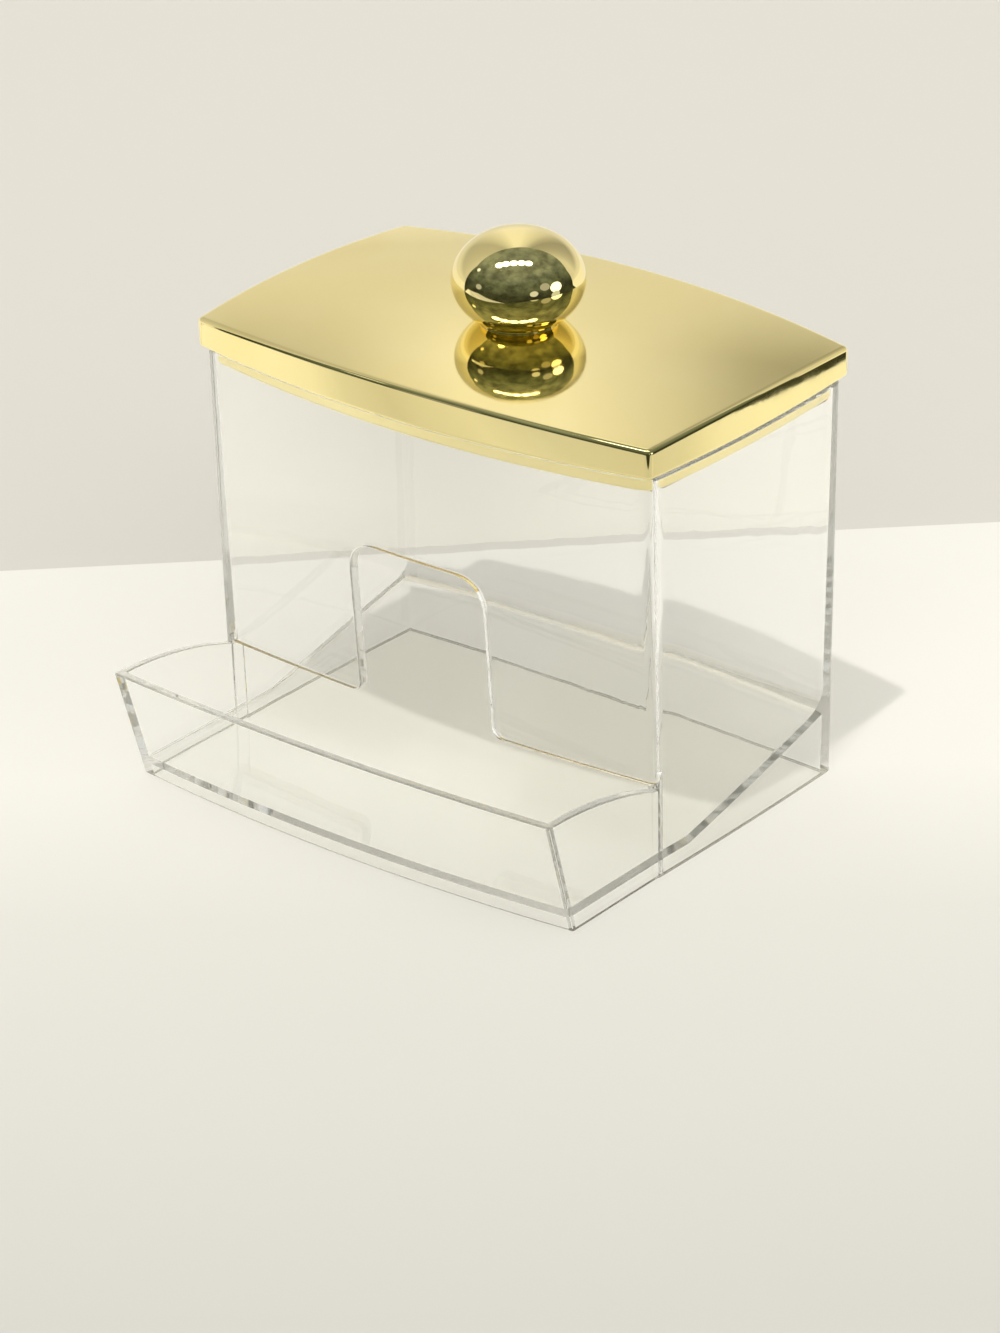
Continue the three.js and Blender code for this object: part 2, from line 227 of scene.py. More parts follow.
def plan_ring(plan, height):
    """Plan outline with four bowed sides, counter-clockwise from the front left corner."""
    half_width, front, back = plan["half_width"], plan["front"], plan["back"]
    corner = plan["corner"]
    middle, half_depth = (back - front) / 2, (back + front) / 2

    def bow(side, share):
        return plan[side] * (1 - share * share)

    def side(point_at, half_length, steps):
        reach = 1 - corner / half_length
        return [point_at(mix(-reach, reach, step / steps)) for step in range(steps + 1)]

    sides = [
        side(lambda s: (s * half_width, -front - bow("front_bow", s)), half_width, FRONT_STEPS),
        side(lambda s: (half_width + bow("side_bow", s), middle + s * half_depth),
             half_depth, SIDE_STEPS),
        side(lambda s: (-s * half_width, back + bow("back_bow", s)), half_width, FRONT_STEPS),
        side(lambda s: (-half_width - bow("side_bow", s), middle - s * half_depth),
             half_depth, SIDE_STEPS),
    ]
    tips = [(half_width, -front), (half_width, back), (-half_width, back), (-half_width, -front)]
    ring = []
    for turn, points in enumerate(sides):
        start, tip, end = points[-1], tips[turn], sides[(turn + 1) % 4][0]
        ring += points
        ring += [corner_point(start, tip, end, step / CORNER_STEPS)
                 for step in range(1, CORNER_STEPS)]
    return [(x, y, height) for x, y in ring]


# ---------------------------------------------------------------- the clear body
def box_plan(height, inset, corners):
    """The box's plan at a height, set in from its outer face; corners are at the foot and mouth."""
    share = height / BOX_HEIGHT
    half_depth = mix(BOX_FOOT_HALF_DEPTH, BOX_MOUTH_HALF_DEPTH, share) - inset
    bow = mix(BOX_FOOT_BOW, BOX_MOUTH_BOW, share)
    return {
        "half_width": mix(BOX_FOOT_HALF_WIDTH, BOX_MOUTH_HALF_WIDTH, share) - inset,
        "front": half_depth, "back": half_depth, "front_bow": bow, "back_bow": bow,
        "side_bow": mix(BOX_FOOT_SIDE_BOW, BOX_MOUTH_SIDE_BOW, share),
        "corner": mix(corners[0], corners[1], share),
    }


def box_loft(name, low, high, inset, corners):
    rings = [plan_ring(box_plan(z, inset, corners), z) for z in (low, high)]
    return loft(name, rings, FRONT_STEPS)


def tray_plan(height, inset):
    """The tray's plan at a height, set in from its outer face; its back end is inside the box."""
    share = height / TRAY_RIM_HEIGHT
    return {
        "half_width": box_plan(height, inset, OUTER_CORNERS)["half_width"] - TRAY_SIDE_INSET,
        "front": mix(TRAY_FOOT_REACH, TRAY_RIM_REACH, share) - inset, "back": TRAY_BACK_END,
        "front_bow": mix(TRAY_FOOT_BOW, TRAY_RIM_BOW, share), "back_bow": 0.0, "side_bow": 0.0,
        "corner": TRAY_CORNER,
    }


def wall_levels(foot, top, wall, rounding):
    """Pairs of height and inset round the section of a wall with rounded edges.

    They start at the outer face's foot, go up it, and come down the inner face."""
    arc = [math.pi / 2 * turn / EDGE_TURNS for turn in range(EDGE_TURNS + 1)]
    shifts = [(rounding * math.sin(a), rounding * (1 - math.cos(a))) for a in arc]
    levels = [(foot + rounding - rise, aside) for rise, aside in reversed(shifts)]
    levels += [(top - rounding + rise, aside) for rise, aside in shifts]
    levels += [(top - rounding + rise, wall - aside) for rise, aside in reversed(shifts)]
    return levels + [(foot + rounding - rise, wall - aside) for rise, aside in shifts]


def box_shell():
    rings = []
    for height, inset in wall_levels(0, BOX_HEIGHT, BOX_WALL, BODY_EDGE_ROUND):
        share = inset / BOX_WALL
        corners = [mix(outer, inner, share) for outer, inner in zip(OUTER_CORNERS, INNER_CORNERS)]
        rings.append(plan_ring(box_plan(height, inset, corners), height))
    return wall_loft("clear_shell", rings)


def rim_height(y):
    """Height of the tray's rim, which rises from the box to the tray's front."""
    near_box = box_plan(EXIT_TOP, 0, OUTER_CORNERS)["front"]
    share = min(1, max(0, (-y - near_box) / (TRAY_RIM_REACH - near_box)))
    return mix(TRAY_SIDE_LOW_HEIGHT, TRAY_RIM_HEIGHT, 1 - (1 - share) ** 2)


def tray_walls():
    """The tray's two sides and front as one wall."""
    def path(height, inset):
        ring = plan_ring(tray_plan(height, inset), height)
        left = len(ring) - SIDE_STEPS - CORNER_STEPS
        return ring[left:] + ring[:FRONT_STEPS + SIDE_STEPS + CORNER_STEPS + 1]

    tops = [rim_height(y) for x, y, z in path(TRAY_RIM_HEIGHT, 0)]
    sections = [wall_levels(TRAY_FOOT_LIFT, top, TRAY_WALL, BODY_EDGE_ROUND) for top in tops]
    rings = []
    for level, (_, inset) in enumerate(sections[0]):
        low, high = path(0, inset), path(TRAY_RIM_HEIGHT, inset)
        ring = []
        for step, section in enumerate(sections):
            share = section[level][0] / TRAY_RIM_HEIGHT
            ring.append(tuple(mix(a, b, share) for a, b in zip(low[step], high[step])))
        rings.append(ring)
    return wall_loft("tray", rings, is_open=True)


def ramp_slab():
    """The floor and the ramp, which reach to the middle of the walls around them."""
    slope = math.atan(RAMP_SLOPE)
    plan = box_plan(EXIT_TOP, BOX_WALL, INNER_CORNERS)
    front_end = -TRAY_RIM_REACH - TRAY_RIM_BOW - OVERRUN
    under = FLOOR_TOP - FLOOR_THICKNESS
    start = RAMP_FOOT_PLACE + (RAMP_THICKNESS / math.cos(slope) - FLOOR_THICKNESS) / RAMP_SLOPE
    rings = []
    for step in range(RAMP_STEPS + 1):
        across = mix(1, -1, step / RAMP_STEPS)
        wall = plan["back"] + plan["back_bow"] * (1 - across * across)
        hub = wall - RAMP_FILLET
        hub_height = (FLOOR_TOP + RAMP_SLOPE * (hub - RAMP_FOOT_PLACE)
                      + RAMP_FILLET / math.cos(slope))
        ring = [(front_end, FLOOR_TOP), (RAMP_FOOT_PLACE, FLOOR_TOP)]
        for turn in range(FILLET_STEPS + 1):
            angle = mix(slope, FILLET_END_ANGLE, turn / FILLET_STEPS)
            ring.append((hub + RAMP_FILLET * math.sin(angle),
                         hub_height - RAMP_FILLET * math.cos(angle)))
        back_end = wall + BOX_WALL + OVERRUN
        end_height = ring[-1][1] + (back_end - ring[-1][0]) * math.tan(FILLET_END_ANGLE)
        ring += [(back_end, end_height), (back_end, under + RAMP_SLOPE * (back_end - start))]
        ring += [(start, under), (front_end, under)]
        rings.append([(across * (BOX_MOUTH_HALF_WIDTH + OVERRUN), y, z) for y, z in ring])
    slab = loft("ramp", rings)
    core_rings = []
    for height in (-OVERRUN, BOX_HEIGHT):
        box = box_plan(height, BOX_WALL / 2, INNER_CORNERS)
        tray = tray_plan(height, TRAY_WALL / 2)
        box.update(front=tray["front"], front_bow=tray["front_bow"], side_bow=0.0)
        core_rings.append(plan_ring(box, height))
    return combine(slab, "INTERSECT", loft("core", core_rings, FRONT_STEPS))


def opening_outline():
    """Half of the gap under the front wall and of the notch, from the right end to the middle."""
    side, top, low = NOTCH_HALF_WIDTH, NOTCH_TOP, EXIT_TOP
    corner, ease = NOTCH_CORNER, NOTCH_MOUTH_CORNER
    end = box_plan(low, TRAY_WALL, OUTER_CORNERS)["half_width"]
    steps = round((end - side - ease) / OPENING_STEP)
    half = [(mix(end, side + ease, step / steps), low) for step in range(steps)]
    for start, tip, finish in (
        ((side + ease, low), (side, low), (side, low + ease)),
        ((side, top - corner), (side, top), (side - corner, top)),
    ):
        half += [corner_point(start, tip, finish, step / OPENING_CORNER_STEPS)
                 for step in range(OPENING_CORNER_STEPS + 1)]
    steps = round((side - corner) / OPENING_STEP)
    return half + [(mix(side - corner, 0, step / steps), top) for step in range(1, steps)]


def front_wall_place(x, height, inset):
    """The Y of the bowed front wall's outer face, or of a face set in from it."""
    plan = box_plan(height, inset, OUTER_CORNERS)
    across = x / plan["half_width"]
    return -plan["front"] - plan["front_bow"] * (1 - across * across)


def opening_cutter():
    """Cuts the gap and the notch, and rounds their edges on both faces of the bowed front wall."""
    half = opening_outline()
    outline = half + [(0.0, NOTCH_TOP)] + [(-x, z) for x, z in reversed(half)]
    last = len(outline) - 1
    normals = [(0.0, 1.0)]
    for step in range(1, last):
        along_edge = Vector(outline[step + 1]) - Vector(outline[step - 1])
        normals.append((along_edge.y / along_edge.length, -along_edge.x / along_edge.length))
    normals.append((0.0, 1.0))

    # Pairs of depth into the wall and widening, from just outside the wall through the rounding.
    arc = [OPENING_END_ANGLE * turn / OPENING_TURNS for turn in range(OPENING_TURNS + 1)]
    eased = [(OPENING_EDGE_ROUND * (1 - math.sin(a)), OPENING_EDGE_ROUND * (1 - math.cos(a)))
             for a in reversed(arc)]
    first_depth, first_widening = eased[0]
    beyond = first_widening + (OPENING_BEYOND + first_depth) * math.tan(OPENING_END_ANGLE)
    eased.insert(0, (-OPENING_BEYOND, beyond))

    def ring(place_at, widening):
        points = [(x, z) if step in (0, last) and not widening
                  else (x + nx * widening, z + nz * widening)
                  for step, ((x, z), (nx, nz)) in enumerate(zip(outline, normals))]
        start, end = ((x, -OVERRUN) for x, z in (points[-1], points[0]))
        return [(x, place_at(x, z), z) for x, z in [start, *reversed(points), end]]

    rings = [ring(lambda x, z: -TRAY_RIM_REACH, beyond)]
    for depth, widening in eased:
        rings.append(ring(lambda x, z: front_wall_place(x, z, 0) + depth, widening))
    for depth, widening in reversed(eased):
        rings.append(ring(lambda x, z: front_wall_place(x, z, BOX_WALL) - depth, widening))
    return loft("opening", rings)


def make_body():
    shell = combine(box_shell(), "DIFFERENCE", opening_cutter())
    return combine(shell, "UNION", tray_walls(), ramp_slab())


# ---------------------------------------------------------------- the lid and the knob
def crowned_block(name, inset, foot, corner_top, grid):
    """A block with the lid's bowed plan and crowned top; the grid is its columns and rows."""
    columns, rows = grid

    def surface(is_top):
        for row in range(rows + 1):
            for column in range(columns + 1):
                u, v = mix(-1, 1, column / columns), mix(-1, 1, row / rows)
                x = u * (LID_HALF_WIDTH - inset + LID_SIDE_BOW * (1 - v * v))
                y = v * (LID_HALF_DEPTH - inset + LID_BOW * (1 - u * u))
                crown = LID_CROWN_ACROSS * (1 - u * u) + LID_CROWN_DEEP * (1 - v * v)
                yield x, y, corner_top + crown if is_top else foot

    points = list(surface(False)) + list(surface(True))
    length = columns + 1
    top = length * (rows + 1)
    faces = []
    for row in range(rows):
        for column in range(columns):
            a = row * length + column
            b, d = a + 1, a + length
            c = d + 1
            faces += [(a, d, c, b), (top + a, top + b, top + c, top + d)]
    edge = list(range(columns))
    edge += [row * length + columns for row in range(rows)]
    edge += [rows * length + column for column in range(columns, 0, -1)]
    edge += [row * length for row in range(rows, 0, -1)]
    for step, low in enumerate(edge):
        after = edge[(step + 1) % len(edge)]
        faces.append((low, after, top + after, top + low))
    return mesh_object(name, points, faces)


def lathe(name, profile, steps):
    """Turns a profile of (radius, height) about Z; it starts and ends on the axis."""
    points = [(0, 0, profile[0][1]), (0, 0, profile[-1][1])]
    first = len(points)
    rows = profile[1:-1]
    for radius, height in rows:
        for step in range(steps):
            angle = 2 * math.pi * step / steps
            points.append((radius * math.cos(angle), radius * math.sin(angle), height))
    faces = []
    for step in range(steps):
        after = (step + 1) % steps
        faces.append((0, first + after, first + step))
        for row in range(len(rows) - 1):
            low = first + row * steps
            faces.append((low + step, low + after, low + steps + after, low + steps + step))
        last = first + (len(rows) - 1) * steps
        faces.append((1, last + step, last + after))
    return mesh_object(name, points, faces)


def disc(name, radius, low, high):
    return lathe(name, [(0, low), (radius, low), (radius, high), (0, high)], DISC_STEPS)


def make_lid():
    lid = crowned_block("gilt_lid", 0, LID_FOOT, LID_CORNER_TOP, LID_GRID)
    hollow = crowned_block("hollow", LID_SKIRT_WALL, LID_FOOT - OVERRUN,
                           LID_CORNER_TOP - LID_PLATE, LID_CUTTER_GRID)
    lip_foot, lip_inset = LID_FOOT - LIP_DEPTH, BOX_WALL + LIP_GAP
    lip = box_loft("lip", lip_foot, LID_CENTRE_TOP, lip_inset, INNER_CORNERS)
    core = box_loft("core", lip_foot - OVERRUN, LID_CENTRE_TOP + OVERRUN,
                    lip_inset + LIP_WALL, INNER_CORNERS)
    under = crowned_block("under", LID_SKIRT_WALL / 2, lip_foot - OVERRUN,
                          LID_CORNER_TOP - LID_PLATE / 2, LID_CUTTER_GRID)
    combine(lip, "DIFFERENCE", core)
    combine(lip, "INTERSECT", under)
    boss = disc("boss", BOSS_RADIUS, BOSS_FOOT, LID_CENTRE_TOP - LID_PLATE / 2)
    hole = disc("hole", SCREW_RADIUS + SCREW_HOLE_GAP, BOSS_FOOT - OVERRUN,
                LID_CENTRE_TOP + OVERRUN)
    combine(lid, "DIFFERENCE", hollow)
    combine(lid, "UNION", lip, boss)
    combine(lid, "DIFFERENCE", hole)
    edges = lid.modifiers.new("edges", "BEVEL")
    edges.width = LID_EDGE_ROUND
    edges.segments = LID_EDGE_SEGMENTS
    edges.limit_method = "ANGLE"
    edges.angle_limit = SHARP_ANGLE
    edges.use_clamp_overlap = False
    return baked(lid)


def make_knob():
    """The knob with its bore; its flat foot goes down to the lid, over the CAD's gap."""
    foot_angle = math.asin(-KNOB_CENTRE_RISE / KNOB_HALF_HEIGHT)
    bore, bore_top = SCREW_RADIUS + SCREW_HOLE_GAP, SCREW_GRIP + BORE_END_GAP
    profile = [(0, bore_top), (bore, bore_top), (bore, -KNOB_SEAT_GAP),
               (KNOB_RADIUS * math.cos(foot_angle), -KNOB_SEAT_GAP)]
    for step in range(KNOB_ARC_STEPS):
        angle = mix(foot_angle, math.pi / 2, step / KNOB_ARC_STEPS)
        rise = KNOB_CENTRE_RISE + KNOB_HALF_HEIGHT * math.sin(angle)
        profile.append((KNOB_RADIUS * math.cos(angle), max(0, rise)))
    profile.append((0, KNOB_CENTRE_RISE + KNOB_HALF_HEIGHT))
    return lathe("gilt_knob", profile, KNOB_TURN_STEPS)


def finish_piece(piece, material, body, slot, *nodes, lift=0):
    """Puts the piece in metres in the frame, smooths its shading, and ties it to its body."""
    mesh = piece.data
    mesh.transform(Matrix.Scale(METRES_PER_MM, 4) @ Matrix.Translation((0, SHIFT_Y, lift)))
    mesh.shade_smooth()
    mesh.set_sharp_from_angle(angle=SHARP_ANGLE)
    mesh.materials.clear()
    mesh.materials.append(material)
    weighted = piece.modifiers.new("normals", "WEIGHTED_NORMAL")
    weighted.keep_sharp = True
    weighted.weight = FACE_NORMAL_WEIGHT
    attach(piece, body)
    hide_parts(*nodes)


# ---------------------------------------------------------------- shader tools
MIX_A, MIX_B, MIX_RESULT = 6, 7, 2  # the colour sockets of a Mix node


def feed(tree, socket, value):
    """Links a socket to another node's output, or sets it to a plain value."""
    if isinstance(value, bpy.types.NodeSocket):
        tree.links.new(value, socket)
    else:
        socket.default_value = value


def node(tree, kind, settings=None, **inputs):
    """A new node; each input is a plain value or another node's output."""
    made = tree.nodes.new(kind)
    for key, value in (settings or {}).items():
        setattr(made, key, value)
    for key, value in inputs.items():
        feed(tree, made.inputs[key.replace("_", " ")], value)
    return made


def noise(tree, place, scale, detail, roughness=0.5):
    made = node(tree, "ShaderNodeTexNoise", Vector=place, Scale=scale, Detail=detail,
                Roughness=roughness)
    return made.outputs["Fac"]


def mapped(tree, source, span, result=(0.0, 1.0)):
    """Carries a span of the source over to another span, and holds it at the ends."""
    made = node(tree, "ShaderNodeMapRange", Value=source, From_Min=span[0], From_Max=span[1],
                To_Min=result[0], To_Max=result[1])
    return made.outputs["Result"]


def mixed(tree, factor, low, high, blend_type="MIX"):
    blend = node(tree, "ShaderNodeMix", {"data_type": "RGBA", "blend_type": blend_type},
                 Factor=factor)
    feed(tree, blend.inputs[MIX_A], low)
    feed(tree, blend.inputs[MIX_B], high)
    return blend.outputs[MIX_RESULT]


def along_direction(tree, place, direction):
    """How far a place, or how much a look, goes along a direction."""
    product = node(tree, "ShaderNodeVectorMath", {"operation": "DOT_PRODUCT"})
    feed(tree, product.inputs[0], place)
    feed(tree, product.inputs[1], direction)
    return product.outputs["Value"]


def colour_ramp(tree, source, stops):
    """Colours that follow a source: pairs of its value, from 0 to 1, and the colour there."""
    ramp = node(tree, "ShaderNodeValToRGB", Fac=source)
    elements = ramp.color_ramp.elements
    while len(elements) < len(stops):
        elements.new(0.5)
    for element, (at, colour) in zip(elements, stops):
        element.position = at
        element.color = tuple(colour) + (1,)
    return ramp.outputs["Color"]


def wide_ramp(tree, source, shades):
    """The same for a source of any range, which is that of the shades."""
    first, last = shades[0][0], shades[-1][0]
    stops = [((at - first) / (last - first), colour) for at, colour in shades]
    return colour_ramp(tree, mapped(tree, source, (first, last)), stops)


# ---------------------------------------------------------------- materials
class Finish:
    """A new material with its shader tree, and the object's own coordinates for its textures."""

    def __init__(self, name, **inputs):
        self.material = bpy.data.materials.new(name)
        self.material.use_nodes = True
        self.tree = self.material.node_tree
        self.shader = self.tree.nodes["Principled BSDF"]
        self.output = self.tree.nodes["Material Output"]
        self.place = node(self.tree, "ShaderNodeTexCoord").outputs["Object"]
        self.set(**inputs)

    def set(self, **inputs):
        for key, value in inputs.items():
            feed(self.tree, self.shader.inputs[key.replace("_", " ")], value)

    def noise(self, scale, detail):
        return noise(self.tree, self.place, scale, detail)

    def bump(self, height, strength, distance):
        made = node(self.tree, "ShaderNodeBump", Strength=strength, Distance=distance,
                    Height=height)
        self.set(Normal=made.outputs["Normal"])


def clear_plastic():
    """Moulded clear plastic with faint waves. Lamps shine straight through it, less at its rims."""
    finish = Finish("clear_plastic", Base_Color=(0.995, 1.0, 0.995, 1), Transmission_Weight=1.0,
                    IOR=1.49)
    tree = finish.tree
    finish.bump(finish.noise(scale=90, detail=1.5), strength=0.25, distance=0.00012)
    haze = finish.noise(scale=40, detail=3)
    finish.set(Roughness=mapped(tree, haze, (0.35, 0.7), (0.0, 0.02)))
    rim = node(tree, "ShaderNodeLayerWeight", Blend=0.35)
    let_through = colour_ramp(tree, rim.outputs["Facing"],
                              ((0.0, (0.999, 0.999, 0.995)), (1.0, (0.89, 0.89, 0.88))))
    window = node(tree, "ShaderNodeBsdfTransparent", Color=let_through)
    path = node(tree, "ShaderNodeLightPath")
    blend = node(tree, "ShaderNodeMixShader", Fac=path.outputs["Is Shadow Ray"])
    tree.links.new(finish.shader.outputs[0], blend.inputs[1])
    tree.links.new(window.outputs[0], blend.inputs[2])
    tree.links.new(blend.outputs[0], finish.output.inputs["Surface"])
    depth = node(tree, "ShaderNodeVolumeAbsorption", Color=(0.60, 0.607, 0.59, 1), Density=14)
    tree.links.new(depth.outputs[0], finish.output.inputs["Volume"])
    return finish.material


def plating(name, pale, deep):
    """Bright gold plating on moulded plastic: nearly a mirror, with faint wear and orange peel."""
    finish = Finish(name, Metallic=1.0)
    tint = finish.noise(scale=30, detail=3)
    finish.set(Base_Color=colour_ramp(finish.tree, tint, ((0.3, deep), (0.7, pale))))
    wear = finish.noise(scale=220, detail=4)
    finish.set(Roughness=mapped(finish.tree, wear, (0.3, 0.75), (0.03, 0.08)))
    finish.bump(finish.noise(scale=350, detail=2), strength=0.12, distance=0.00004)
    return finish.material


def zinc_steel():
    finish = Finish("zinc_steel", Metallic=1.0)
    grain = finish.noise(scale=900, detail=4)
    shades = ((0.0, (0.50, 0.51, 0.53)), (1.0, (0.74, 0.75, 0.77)))
    finish.set(Base_Color=colour_ramp(finish.tree, grain, shades),
               Roughness=mapped(finish.tree, grain, (0.3, 0.7), (0.25, 0.45)))
    finish.bump(grain, strength=0.2, distance=0.00005)
    return finish.material


# ---------------------------------------------------------------- the object
clear = clear_plastic()
gilt = plating("gilt_plating", pale=(0.98, 0.865, 0.46), deep=(0.95, 0.82, 0.38))
steel = zinc_steel()

finish_piece(make_body(), clear, "holder", "clear_body", "clear_body")
finish_piece(make_lid(), gilt, "lid", "gilt", "lid")
finish_piece(make_knob(), gilt, "lid", "gilt", "lid_knob", lift=LID_CENTRE_TOP + KNOB_SEAT_GAP)
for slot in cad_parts["knob_screw"].material_slots:
    slot.material = steel

# ---------------------------------------------------------------- camera, fitted to the photo
SENSOR_WIDTH_MM, FOCAL_LENGTH_MM = 36, 128.826
CAMERA_RIGHT = (0.777992, 0.627984, -0.019098)
CAMERA_UP = (-0.262491, 0.35251, 0.89824)
CAMERA_BACK = (0.570812, -0.693811, 0.43909)
CAMERA_PLACE = (0.461926, -0.557321, 0.373647)
lens = bpy.data.cameras.new("camera")
lens.sensor_fit = "AUTO"
lens.sensor_width = SENSOR_WIDTH_MM
lens.lens = FOCAL_LENGTH_MM
camera = bpy.data.objects.new("camera", lens)
scene.collection.objects.link(camera)
scene.camera = camera
axes = (CAMERA_RIGHT, CAMERA_UP, CAMERA_BACK, CAMERA_PLACE)
camera.matrix_world = Matrix([[axis[row] for axis in axes] for row in range(3)] + [(0, 0, 0, 1)])

# ---------------------------------------------------------------- stage, in metres
# Behind the object runs a line: pale paper before it, and beyond it greyer paper whose grey is
# painted shade, standing in for an upright backdrop that gets less light.
LINE_START, LINE_END = Vector((-0.0974, 0.0389, 0)), Vector((-0.0105, 0.1207, 0))
ALONG_LINE = (LINE_END - LINE_START).normalized()
TOWARDS_BACK = (-0.635, 0.772, 0)
LINE_DEPTH = LINE_START.dot(Vector(TOWARDS_BACK).normalized())
STAGE_REACH = 12.0
BACKDROP_LEFT, BACKDROP_RIGHT, BACKDROP_HEIGHT = -0.28, 0.70, 0.33
SHEET_FRONT, SHEET_LEFT, SHEET_RIGHT, SHEET_LIFT = -0.21, -0.75, 0.226, 0.0003

# Painted shades are pairs of a place along a direction and the share of the paper's colour there:
# painted light and shade, not the paper's own colour.
TABLE_COLOUR = (0.945, 0.932, 0.868)
TABLE_PAINTED_SHADE = ((-0.165, 0.69), (-0.108, 0.75), (-0.08, 0.775), (-0.05, 0.81), (0.0, 0.945),
                (0.06, 0.935))
SHEET_PAINTED_SHADE = ((-0.3, 0.55), (-0.12, 0.68), (-0.088, 0.79), (-0.06, 0.72), (-0.045, 0.66),
                (-0.02, 0.75), (0.0, 0.93), (0.025, 1.0), (0.1, 1.0))
BEYOND_COLOUR = (0.74, 0.721, 0.66)
BEYOND_PAINTED_SHADE = ((-0.3, 0.98), (-0.1, 0.95), (0.3, 0.95))
BACKDROP_COLOUR = (0.67, 0.653, 0.605)
# The backdrop is painted darker from 8 to 9 cm up, which is painted shade, and above that it
# carries a painted patch of light.
BACKDROP_LOW_PAINTED_SHADE = ((0.0, 1.0), (0.082, 1.0), (0.090, 0.83), (0.2, 0.83))
BACKDROP_PAINTED_LIGHT_PATCH = ((-0.20, 0.70), (0.0, 0.52), (0.02, 0.70), (0.045, 1.01), (0.065, 0.99),
                         (0.09, 0.73), (0.105, 0.52), (0.121, 0.38), (0.15, 0.42), (0.30, 0.75))
PAINTED_PATCH_HEIGHTS = (0.100, 0.125)


def paper(name):
    finish = Finish(name, Roughness=0.95, Specular_IOR_Level=0.1)
    finish.bump(finish.noise(scale=600, detail=3), strength=0.15, distance=0.0001)
    return finish


# Paints light and shade on paper as shares of its colour along a direction.
def painted_light_and_shade(finish, colour, direction, shades):
    tinted = [(at, [share * channel for channel in colour]) for at, share in shades]
    return wide_ramp(finish.tree, along_direction(finish.tree, finish.place, direction), tinted)


# Paper with painted shade along a direction.
def paper_with_painted_shade(name, colour, direction, shades):
    finish = paper(name)
    finish.set(Base_Color=painted_light_and_shade(finish, colour, direction, shades))
    return finish.material


def backdrop_paper():
    """Even where it stands lowest, painted darker a little higher up, and with a painted patch of
    light above that only the gilt lid mirrors.
    """
    finish = paper("backdrop_paper")
    low = painted_light_and_shade(finish, BACKDROP_COLOUR, (0, 0, 1), BACKDROP_LOW_PAINTED_SHADE)
    start = LINE_START.dot(ALONG_LINE)
    high = painted_light_and_shade(finish, BACKDROP_COLOUR, ALONG_LINE,
                        [(at + start, share) for at, share in BACKDROP_PAINTED_LIGHT_PATCH])
    height = node(finish.tree, "ShaderNodeSeparateXYZ", Vector=finish.place).outputs["Z"]
    into_painted_patch = mapped(finish.tree, height, PAINTED_PATCH_HEIGHTS)
    finish.set(Base_Color=mixed(finish.tree, into_painted_patch, low, high))
    return finish.material


def stage_plane(name, points, material):
    plane = mesh_object(name, points, [tuple(range(len(points)))])
    plane.data.materials.append(material)
    return plane


def stage_area(name, left, right, front, back, material, lift=0.0):
    """A level sheet that spans left to right along the line and front to back across it."""
    points = [ALONG_LINE * side + Vector(TOWARDS_BACK) * depth + Vector((0, 0, lift))
              for side, depth in ((left, front), (right, front), (right, back), (left, back))]
    return stage_plane(name, points, material)


# The table is painted darker towards the front: painted shade for light that falls off away from
# the line.
table = stage_area("table", -STAGE_REACH, STAGE_REACH, -STAGE_REACH, LINE_DEPTH,
                   paper_with_painted_shade("table_paper", TABLE_COLOUR, TOWARDS_BACK, TABLE_PAINTED_SHADE))
# The greyer paper beyond the line is painted shade, with a faint painted gradient along the line.
beyond = stage_area("table_beyond", -STAGE_REACH, STAGE_REACH, LINE_DEPTH, STAGE_REACH,
                    paper_with_painted_shade("beyond_paper", BEYOND_COLOUR, ALONG_LINE, BEYOND_PAINTED_SHADE))
# In place of the two floors, the gilt mirrors a pale sheet that ends just outside the view, with
# the room beyond it. The gilt and the clear plastic also see an upright backdrop on the line.
# The mirrored sheet carries painted shade across its depth, so the gilt mirrors it darker in
# places.
sheet = stage_area("mirrored_sheet", SHEET_LEFT, SHEET_RIGHT, SHEET_FRONT, LINE_DEPTH,
                   paper_with_painted_shade("sheet_paper", TABLE_COLOUR, TOWARDS_BACK, SHEET_PAINTED_SHADE),
                   SHEET_LIFT)
backdrop_foot = [LINE_START + ALONG_LINE * side for side in (BACKDROP_LEFT, BACKDROP_RIGHT)]
backdrop_top = [foot + Vector((0, 0, BACKDROP_HEIGHT)) for foot in reversed(backdrop_foot)]
backdrop = stage_plane("backdrop", backdrop_foot + backdrop_top, backdrop_paper())
table.visible_glossy = beyond.visible_glossy = False
for plane in (sheet, backdrop):
    plane.visible_camera = plane.visible_diffuse = plane.visible_shadow = False
sheet.visible_transmission = False

# ---------------------------------------------------------------- world and lamps
PALE_SKY = (0.436, 0.427, 0.410, 1)
STUDIO_WALL = (0.78, 0.765, 0.72, 1)
BRIGHT_SKY = (1.05, 1.03, 0.98, 1)
# The room's colours by the height of the direction looked in, from -1 below to 1 above.
ROOM_SHADES = ((-0.6, (0.04, 0.04, 0.02)), (0.0, (0.05, 0.055, 0.035)),
               (0.2, (0.10, 0.115, 0.085)), (0.4, (0.13, 0.15, 0.11)),
               (0.62, (0.19, 0.215, 0.18)), (0.85, (0.25, 0.27, 0.22)), (1.0, (0.18, 0.20, 0.17)))
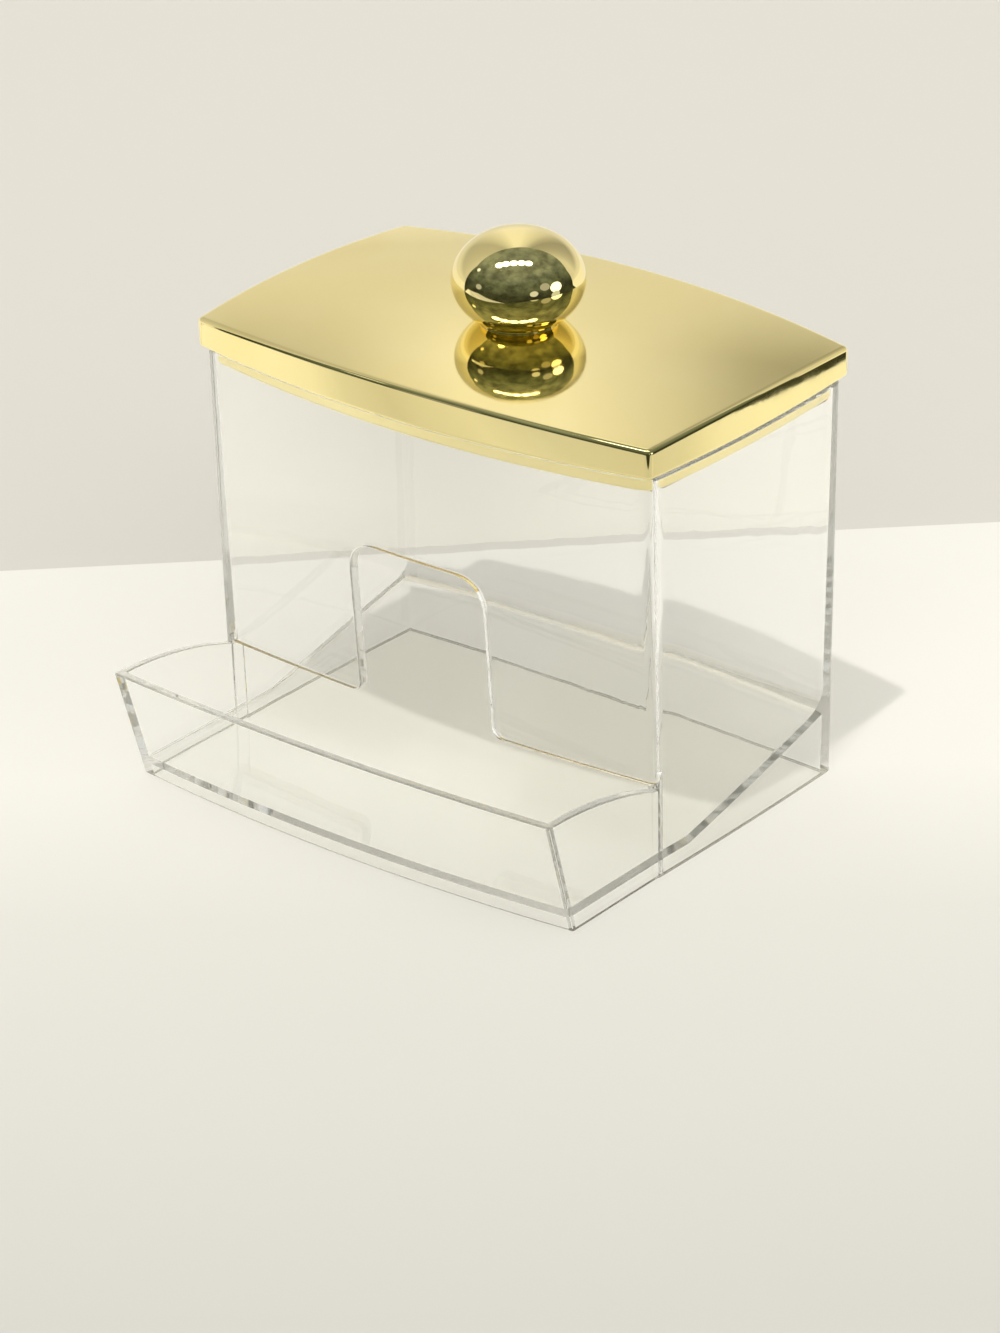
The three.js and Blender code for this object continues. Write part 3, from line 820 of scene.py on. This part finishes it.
# Lights of the room: direction, cosine of the angle to their edge, and brightness.
LAMP_ROW_START, LAMP_ROW_END = Vector((-0.28, -0.44, 0.85)), Vector((0.36, 0.05, 0.93))
LAMP_SHARES = (0.1, 0.3, 0.5, 0.7, 0.9)
LAMP_SIZE, LAMP_GLOW = 0.9955, 5.0
LAMP_ROW = [(LAMP_ROW_START.lerp(LAMP_ROW_END, share), LAMP_SIZE, LAMP_GLOW)
            for share in LAMP_SHARES]
WINDOWS = [
    (Vector((0.96, 0.26, 0.12)), 0.982, 2.2), (Vector((0.90, -0.43, 0.05)), 0.992, 0.75),
    (Vector((0.96, 0.22, -0.16)), 0.99, 0.7), (Vector((0.96, -0.08, 0.26)), 0.988, 0.45),
    (Vector((-0.53, -0.84, 0.14)), 0.995, 0.5), (Vector((-0.65, -0.50, 0.57)), 0.9985, 1.5),
]
SOFT_EDGE = 0.0006
KEY_COLOUR, SOFT_COLOUR = (1.0, 0.985, 0.95), (1.0, 0.985, 0.955)


def mirrored_room(tree):
    """A dim, uneven room with a row of ceiling lamps and some windows."""
    look = node(tree, "ShaderNodeTexCoord").outputs["Generated"]
    height = node(tree, "ShaderNodeSeparateXYZ", Vector=look).outputs["Z"]
    walls = wide_ramp(tree, height, ROOM_SHADES)
    clutter = noise(tree, look, scale=3.5, detail=3.0, roughness=0.6)
    room = mixed(tree, 1.0, walls, mapped(tree, clutter, (0.35, 0.65), (0.55, 1.4)), "MULTIPLY")
    for direction, size, glow in LAMP_ROW + WINDOWS:
        towards = along_direction(tree, look, direction.normalized())
        light = mapped(tree, towards, (size, size + SOFT_EDGE))
        room = mixed(tree, light, room, (glow, glow, glow, 1))
    return room


def make_world():
    """A pale sky lights the scene; the camera, the gilt and the clear plastic see other colours."""
    world = bpy.data.worlds.new("world")
    scene.world = world
    world.use_nodes = True
    tree = world.node_tree
    ray = node(tree, "ShaderNodeLightPath")
    seen = PALE_SKY
    # A refracted ray counts as glossy too, so transmission comes last.
    for kind, colour in (("Camera", STUDIO_WALL), ("Glossy", mirrored_room(tree)),
                         ("Transmission", BRIGHT_SKY)):
        seen = mixed(tree, ray.outputs["Is %s Ray" % kind], seen, colour)
    sky = tree.nodes["Background"]
    sky.inputs["Strength"].default_value = 1.0
    tree.links.new(seen, sky.inputs["Color"])


def sun(name, energy, travel, colour, spread):
    """A sun whose light travels in a direction, spread in degrees; only matt surfaces show it."""
    data = bpy.data.lights.new(name, "SUN")
    data.energy = energy
    data.color = colour
    data.angle = math.radians(spread)
    # Multiple importance sampling loses a wide sun's light under the clear plastic.
    data.cycles.use_multiple_importance_sampling = False
    made = bpy.data.objects.new(name, data)
    made.location = (0, 0, 1)
    made.rotation_mode = "QUATERNION"
    made.rotation_quaternion = Vector(travel).to_track_quat("-Z", "Y")
    made.visible_glossy = made.visible_transmission = made.visible_camera = False
    scene.collection.objects.link(made)


make_world()
sun("key", energy=0.92, travel=(-8, 30.3, -76), colour=KEY_COLOUR, spread=1.4)
sun("front", energy=2.64, travel=(-0.55, 0.62, -0.30), colour=SOFT_COLOUR, spread=70)
sun("side", energy=1.08, travel=(-0.9, -0.25, -0.35), colour=SOFT_COLOUR, spread=60)

scene.view_settings.view_transform = "Standard"
# Light goes back and forth many times in the clear walls.
scene.cycles.max_bounces = 200
scene.cycles.transmission_bounces = 200
scene.cycles.glossy_bounces = 200
scene.cycles.transparent_max_bounces = 32
scene.cycles.sample_clamp_indirect = 6.0
